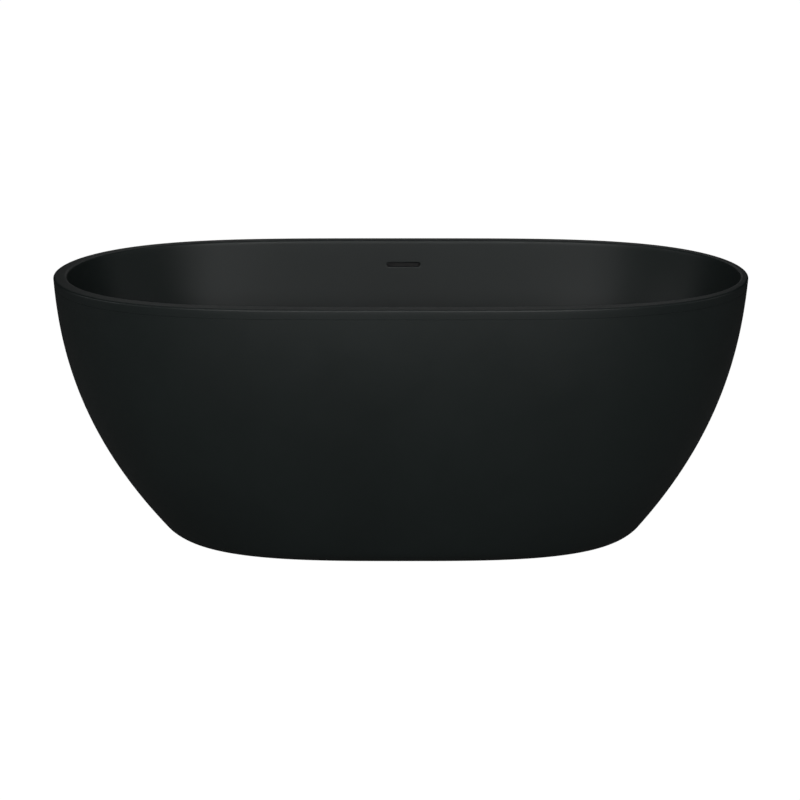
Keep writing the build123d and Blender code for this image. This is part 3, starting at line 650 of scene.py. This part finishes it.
coil = {"low": .1140, "high": .1400, "radius": .0066, "wire": .0007, "turns": 6, "closed": .75,
        "closedRise": 2.1,   # climb of a closed turn, in wire radii
        "pressed": .615, "steps": 240, "wireSteps": 10, "sharpAngle": 50}
closedShare = coil["closed"] / coil["turns"]
endLift = coil["closedRise"] * coil["wire"] * coil["closed"]
span = coil["high"] - coil["low"] - 2 * coil["wire"] - 2 * endLift
coilPoints = []
for k in range(coil["steps"] + 1):   # closed end turns, with an even climb between them
    share = k / coil["steps"]
    around = 2 * math.pi * coil["turns"] * share
    climb = min(1.0, max(0.0, (share - closedShare) / (1 - 2 * closedShare)))
    lift = endLift * (min(share, closedShare) + max(0.0, share - 1 + closedShare)) / closedShare
    middleZ = coil["low"] + coil["wire"] + lift + climb * span
    for j in range(coil["wireSteps"]):
        turn = 2 * math.pi * j / coil["wireSteps"]
        reach = coil["radius"] + coil["wire"] * math.cos(turn)
        coilPoints.append((drain[0] + reach * math.cos(around), reach * math.sin(around),
                           middleZ + coil["wire"] * math.sin(turn)))
coilFaces, _ = gridFaces(coil["steps"] + 1, coil["wireSteps"], closed=False)
coilFaces.append(tuple(range(coil["wireSteps"])))
coilFaces.append(tuple(coil["steps"] * coil["wireSteps"] + j for j in reversed(range(coil["wireSteps"]))))
plugSpring = makePiece("plugSpringPiece", coilPoints, coilFaces, "plug", [looks["spring_steel"]],
                       coil["sharpAngle"])
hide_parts("plug_spring")
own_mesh(plugSpring)

foot = {"places": [(-.330, -.150), (-.330, .150), (.330, -.150), (.330, .150), (-.140, 0.0)],
        "pad": .0217, "padTop": .008, "padSteps": 72, "recess": .0125, "recessTop": .0004, "recessSlope": .001,
        "lowRound": .0010, "grooveLow": .0032, "groove": .0037, "grooveTop": .0042, "grooveDepth": .0006,
        "topRound": .0021, "boss": .010, "bossTop": .017, "bossFillet": .0015, "bossFoot": .001, "bossEdge": .0008,
        "socket": .00505, "socketLow": .006, "socketEdge": .0005}
padProfile = [(0, foot["recessTop"]), (foot["recess"], foot["recessTop"]), (foot["recess"] + foot["recessSlope"], 0),
              (foot["pad"] - foot["lowRound"], 0)]
padProfile += roundCorner(foot["pad"] - foot["lowRound"], foot["lowRound"], foot["lowRound"], -90, 0, 4)[1:]
padProfile += [(foot["pad"], foot["grooveLow"]), (foot["pad"] - foot["grooveDepth"], foot["groove"]),
               (foot["pad"], foot["grooveTop"])]
padProfile += roundCorner(foot["pad"] - foot["topRound"], foot["padTop"] - foot["topRound"], foot["topRound"], 0, 90, 5)
padProfile += [(foot["boss"] + foot["bossFillet"] + foot["bossFoot"], foot["padTop"])]
padProfile += roundCorner(foot["boss"] + foot["bossFillet"], foot["padTop"] + foot["bossFillet"], foot["bossFillet"],
                          270, 180, 4)
padProfile += [(foot["boss"], foot["bossTop"] - foot["bossEdge"]), (foot["boss"] - foot["bossEdge"], foot["bossTop"]),
               (foot["socket"] + foot["socketEdge"], foot["bossTop"]),
               (foot["socket"], foot["bossTop"] - foot["socketEdge"]),
               (foot["socket"], foot["socketLow"]), (0, foot["socketLow"])]
thread = {"radius": .005, "low": .00605, "top": .100, "pitch": .0015, "depth": .00062, "shape": 1.2,
          "rowsPerTurn": 6, "steps": 28, "sharpAngle": 50,
          "endLength": .0012, "lowEnd": .45, "topEnd": .35, "endDepth": .18}   # how the stud's ends taper
studRows = np.arange(thread["low"], thread["top"] + 1e-6, thread["pitch"] / thread["rowsPerTurn"])
for number, (x, y) in enumerate(foot["places"], 1):
    place = (x + bath["drainX"], y)
    pad = turned(f"footPadPiece{number}", padProfile, place, f"foot_{number}", "pad_plastic", False, foot["padSteps"])
    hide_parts(f"foot_pad_{number}")
    studPoints = []
    for z in studRows:   # a real helix: the groove climbs one pitch a turn
        ends = min(1.0, (z - thread["low"]) / thread["endLength"] + thread["lowEnd"],
                   (thread["top"] - z) / thread["endLength"] + thread["topEnd"])
        for j in range(thread["steps"]):
            phase = (z / thread["pitch"] - j / thread["steps"]) % 1
            groove = thread["depth"] * (1 - abs(2 * phase - 1)) ** thread["shape"]
            radius = (thread["radius"] - groove) * (1 - thread["endDepth"] + thread["endDepth"] * ends)
            turn = 2 * math.pi * j / thread["steps"]
            studPoints.append((place[0] + radius * math.cos(turn), place[1] + radius * math.sin(turn), z))
    studFaces, _ = gridFaces(len(studRows), thread["steps"], closed=False)
    studFaces.append(tuple(range(thread["steps"])))
    lastRing = (len(studRows) - 1) * thread["steps"]
    studFaces.append(tuple(lastRing + j for j in reversed(range(thread["steps"]))))
    stud = makePiece(f"footStudPiece{number}", studPoints, studFaces, f"stud_{number}",
                     [looks["zinc_steel"]], thread["sharpAngle"])
    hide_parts(f"foot_stud_{number}")
print("waste, plug and feet made")


# stage, light and camera

stage = {"size": 60, "white": 1.05, "diffuse": .8, "toObject": .20, "shadowShare": .04,
         "worldColour": (.95, 1, .98, 1), "worldSeen": .9, "worldLight": .004}
floorMesh = bpy.data.meshes.new("studioFloor")
half = stage["size"] / 2
floorMesh.from_pydata([(-half, -half, 0), (half, -half, 0), (half, half, 0), (-half, half, 0)], [], [(0, 1, 2, 3)])
studioFloor = bpy.data.objects.new("studioFloor", floorMesh)
bpy.context.scene.collection.objects.link(studioFloor)
floorMaterial = bpy.data.materials.new("paleFloor")
floorMaterial.use_nodes = True
tree = floorMaterial.node_tree
tree.nodes.clear()
seen = addNode(tree, "ShaderNodeEmission", {"Color": (1, 1, 1, 1), "Strength": stage["white"]})
lit = addNode(tree, "ShaderNodeBsdfDiffuse", {"Color": (stage["diffuse"],) * 3 + (1,)})
cameraSees = addNode(tree, "ShaderNodeMixShader", {"Fac": stage["shadowShare"]})
tree.links.new(seen.outputs[0], cameraSees.inputs[1])
tree.links.new(lit.outputs[0], cameraSees.inputs[2])
dim = addNode(tree, "ShaderNodeBsdfDiffuse", {"Color": (stage["toObject"],) * 3 + (1,)})
path = addNode(tree, "ShaderNodeLightPath")
topSide = addNode(tree, "ShaderNodeMixShader", {"Fac": path.outputs["Is Camera Ray"]})   # dim in the bath's reflections
tree.links.new(dim.outputs[0], topSide.inputs[1])
tree.links.new(cameraSees.outputs[0], topSide.inputs[2])
clear = addNode(tree, "ShaderNodeBsdfTransparent")
facing = addNode(tree, "ShaderNodeNewGeometry")
bothSides = addNode(tree, "ShaderNodeMixShader", {"Fac": facing.outputs["Backfacing"]})   # clear from below
tree.links.new(topSide.outputs[0], bothSides.inputs[1])
tree.links.new(clear.outputs[0], bothSides.inputs[2])
floorOut = addNode(tree, "ShaderNodeOutputMaterial")
tree.links.new(bothSides.outputs[0], floorOut.inputs["Surface"])
floorMesh.materials.append(floorMaterial)

world = bpy.data.worlds.new("studioWorld")
bpy.context.scene.world = world
world.use_nodes = True
worldTree = world.node_tree
background = worldTree.nodes["Background"]
background.inputs["Color"].default_value = stage["worldColour"]
worldPath = addNode(worldTree, "ShaderNodeLightPath")   # the world looks pale and hardly lights the bath
worldGlow = remap(worldTree, worldPath.outputs["Is Camera Ray"], 0, 1, stage["worldLight"], stage["worldSeen"])
worldTree.links.new(worldGlow, background.inputs["Strength"])

lightRigs = [   # softboxes around the bath: degrees, metres and watts
    {"name": "frontLeft", "azimuth": -15, "elevation": 20, "distance": 4.6, "size": (1.6, 1.2), "power": 29},
    {"name": "frontRight", "azimuth": 15, "elevation": 20, "distance": 4.6, "size": (1.6, 1.2), "power": 26.5},
    {"name": "lowLeft", "azimuth": -14, "elevation": 9, "distance": 4.6, "size": (1.6, .9), "power": 7.5},
    {"name": "lowRight", "azimuth": 14, "elevation": 9, "distance": 4.6, "size": (1.6, .9), "power": 13},
    {"name": "frontHigh", "azimuth": 0, "elevation": 50, "distance": 4.2, "size": (3.0, 1.4), "power": 4.5},
    {"name": "overhead", "azimuth": 0, "elevation": 78, "distance": 3.4, "size": (3.2, 1.4), "power": 13},
    {"name": "wideLeft", "azimuth": -65, "elevation": 20, "distance": 4.6, "size": (1.6, 1.4), "power": 9.5},
    {"name": "wideRight", "azimuth": 65, "elevation": 20, "distance": 4.6, "size": (1.6, 1.4), "power": 3.8},
    {"name": "sideLeft", "azimuth": -90, "elevation": 14, "distance": 4.4, "size": (1.4, 1.6), "power": 6},
    {"name": "sideRight", "azimuth": 90, "elevation": 14, "distance": 4.4, "size": (1.4, 1.6), "power": 4.5},
    {"name": "backHigh", "azimuth": 180, "elevation": 30, "distance": 4.6, "size": (3.0, 1.2), "power": 3.3},
    {"name": "backLow", "azimuth": 180, "elevation": 9, "distance": 5.0, "size": (3.0, .9), "power": 1.4},
]
bathMiddle = Vector((0, 0, .30))
for rig in lightRigs:
    data = bpy.data.lights.new(rig["name"], "AREA")
    data.shape = "RECTANGLE"
    data.size, data.size_y = rig["size"]
    data.energy = rig["power"]
    lamp = bpy.data.objects.new(rig["name"], data)
    side = math.radians(rig["azimuth"])
    up = math.radians(rig["elevation"])
    toward = Vector((math.sin(side) * math.cos(up), -math.cos(side) * math.cos(up), math.sin(up)))
    lamp.location = bathMiddle + toward * rig["distance"]
    lamp.rotation_euler = toward.to_track_quat("Z", "Y").to_euler()
    bpy.context.scene.collection.objects.link(lamp)

cameraSet = {"distance": 4.3663, "pitch": 15.707, "lens": 88.876, "sensor": 36, "aim": .2892, "side": -.0017,
             "farEnd": 200}
cameraData = bpy.data.cameras.new("bathCamera")
cameraData.lens = cameraSet["lens"]
cameraData.sensor_width = cameraSet["sensor"]
cameraData.clip_end = cameraSet["farEnd"]
camera = bpy.data.objects.new("bathCamera", cameraData)
pitch = math.radians(cameraSet["pitch"])
camera.location = (cameraSet["side"], -cameraSet["distance"] * math.cos(pitch),
                   cameraSet["aim"] + cameraSet["distance"] * math.sin(pitch))
camera.rotation_euler = (math.pi / 2 - pitch, 0, 0)
bpy.context.scene.collection.objects.link(camera)
bpy.context.scene.camera = camera
bpy.context.scene.view_settings.view_transform = "Standard"
print("stage, lights and camera placed")
